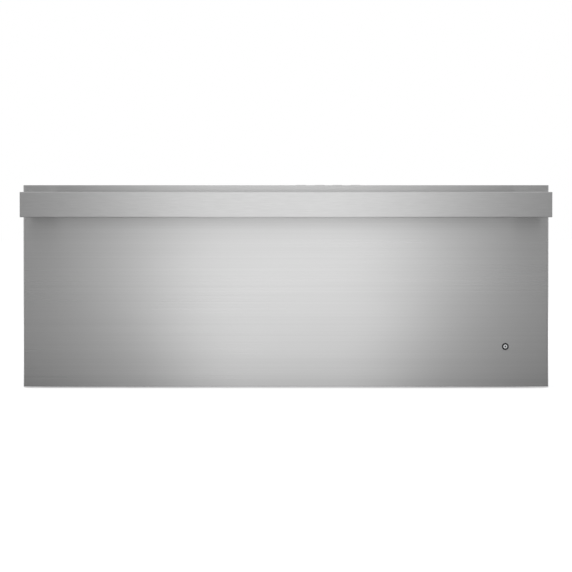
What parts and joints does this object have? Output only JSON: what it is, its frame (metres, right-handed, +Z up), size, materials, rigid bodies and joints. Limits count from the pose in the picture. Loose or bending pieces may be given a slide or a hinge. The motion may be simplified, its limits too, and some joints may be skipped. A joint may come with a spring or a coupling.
{
  "type": "built-in warming drawer",
  "caption": "Insulated heated drawer for a cabinet cut-out, with a brushed steel front, full-width bar handle and ball-bearing slides.",
  "frame": {"origin": "under the middle of the whole object, handle included, on the shelf that the runners stand on", "axes": "+X right, +Y from the front panel back into the cabinet, +Z up; seen from the front"},
  "size_m": [0.756, 0.6722, 0.2934],
  "materials": {
    "brushed_stainless": "horizontal brushed satin",
    "galvanised_steel": "hot-dip zinc, faint spangle",
    "liner_steel": "aluminised, smooth satin",
    "slide_steel": "bright zinc plate",
    "plated_steel": "bright plate",
    "element_sheath": "heat-darkened alloy",
    "mineral_wool": "fibrous blanket",
    "gasket_rubber": "matt silicone",
    "black_plastic": "fine-grained",
    "strip_gloss": "gloss black",
    "window_glass": "smoked",
    "key_plastic": "satin grey",
    "circuit_board": "solder mask",
    "lens_plastic": "pale translucent",
    "cage_plastic": "natural moulding"
  },
  "bodies": {
    "chassis": {"chassis_base": "galvanised_steel", "chassis_left_side": "galvanised_steel", "chassis_right_side": "galvanised_steel", "chassis_top": "galvanised_steel", "chassis_back": "galvanised_steel", "base_runner_left": "galvanised_steel", "base_runner_right": "galvanised_steel", "rear_cover": "galvanised_steel", "wiring_box": "galvanised_steel", "wiring_box_cover": "galvanised_steel", "liner_floor": "liner_steel", "liner_left_side": "liner_steel", "liner_right_side": "liner_steel", "liner_top": "liner_steel", "liner_back": "liner_steel", "element_bracket_front": "liner_steel", "element_bracket_back": "liner_steel", "heat_spreader": "liner_steel", "temperature_probe": "plated_steel", "heating_element": "element_sheath", "insulation_wrap": "mineral_wool", "insulation_top": "mineral_wool", "insulation_back": "mineral_wool", "thermal_cutout": "black_plastic", "power_board": "circuit_board", "slide_outer_left": "slide_steel", "slide_outer_right": "slide_steel"},
    "slide_middles": {"slide_middle_left": "slide_steel", "slide_middle_right": "slide_steel"},
    "outer_cages": {"ball_cage_outer_left": "cage_plastic", "ball_cage_outer_right": "cage_plastic"},
    "inner_cages": {"ball_cage_inner_left": "cage_plastic", "ball_cage_inner_right": "cage_plastic"},
    "drawer": {"front_skin": "brushed_stainless", "inner_panel": "liner_steel", "insulation_front": "mineral_wool", "door_gasket": "gasket_rubber", "handle_bar": "brushed_stainless", "handle_post_left": "brushed_stainless", "handle_post_right": "brushed_stainless", "handle_screw_left": "plated_steel", "handle_screw_right": "plated_steel", "indicator_bezel": "black_plastic", "indicator_lens": "lens_plastic", "indicator_lamp": "black_plastic", "console_housing": "black_plastic", "control_strip": "strip_gloss", "display_window": "window_glass", "key_board": "circuit_board", "drawer_pan": "brushed_stainless", "drawer_rail_left": "liner_steel", "drawer_rail_right": "liner_steel", "slide_inner_left": "slide_steel", "slide_inner_right": "slide_steel"},
    "key_1": {"control_key_1": "key_plastic"},
    "key_2": {"control_key_2": "key_plastic"},
    "key_3": {"control_key_3": "key_plastic"},
    "key_4": {"control_key_4": "key_plastic"},
    "shutter": {"vent_shutter": "liner_steel"},
    "rack": {"wire_rack": "plated_steel"}
  },
  "joints": [
    {"name": "drawer_slide", "type": "slide", "parent": "chassis", "child": "drawer", "axis": [0, -1, 0], "range_m": [0, 0.46]},
    {"name": "slide_middle", "type": "slide", "parent": "chassis", "child": "slide_middles", "axis": [0, -1, 0], "range_m": [0, 0.23]},
    {"name": "outer_cage_roll", "type": "slide", "parent": "chassis", "child": "outer_cages", "axis": [0, -1, 0], "range_m": [0, 0.115]},
    {"name": "inner_cage_roll", "type": "slide", "parent": "chassis", "child": "inner_cages", "axis": [0, -1, 0], "range_m": [0, 0.345]},
    {"name": "key_1_press", "type": "slide", "parent": "drawer", "child": "key_1", "axis": [0, 0, -1], "range_m": [0, 0.001], "stiffness_N_per_m": 400, "springref_m": -0.001},
    {"name": "key_2_press", "type": "slide", "parent": "drawer", "child": "key_2", "axis": [0, 0, -1], "range_m": [0, 0.001], "stiffness_N_per_m": 400, "springref_m": -0.001},
    {"name": "key_3_press", "type": "slide", "parent": "drawer", "child": "key_3", "axis": [0, 0, -1], "range_m": [0, 0.001], "stiffness_N_per_m": 400, "springref_m": -0.001},
    {"name": "key_4_press", "type": "slide", "parent": "drawer", "child": "key_4", "axis": [0, 0, -1], "range_m": [0, 0.001], "stiffness_N_per_m": 400, "springref_m": -0.001},
    {"name": "vent_shutter_slide", "type": "slide", "parent": "drawer", "child": "shutter", "axis": [1, 0, 0], "range_m": [0, 0.009]},
    {"name": "rack_lift", "type": "slide", "parent": "drawer", "child": "rack", "axis": [0, 0, 1], "range_m": [0, 0.146]}
  ],
  "couplings": [
    {"joint": "slide_middle", "follows": "drawer_slide", "ratio": 0.5},
    {"joint": "outer_cage_roll", "follows": "drawer_slide", "ratio": 0.25},
    {"joint": "inner_cage_roll", "follows": "drawer_slide", "ratio": 0.75}
  ]
}
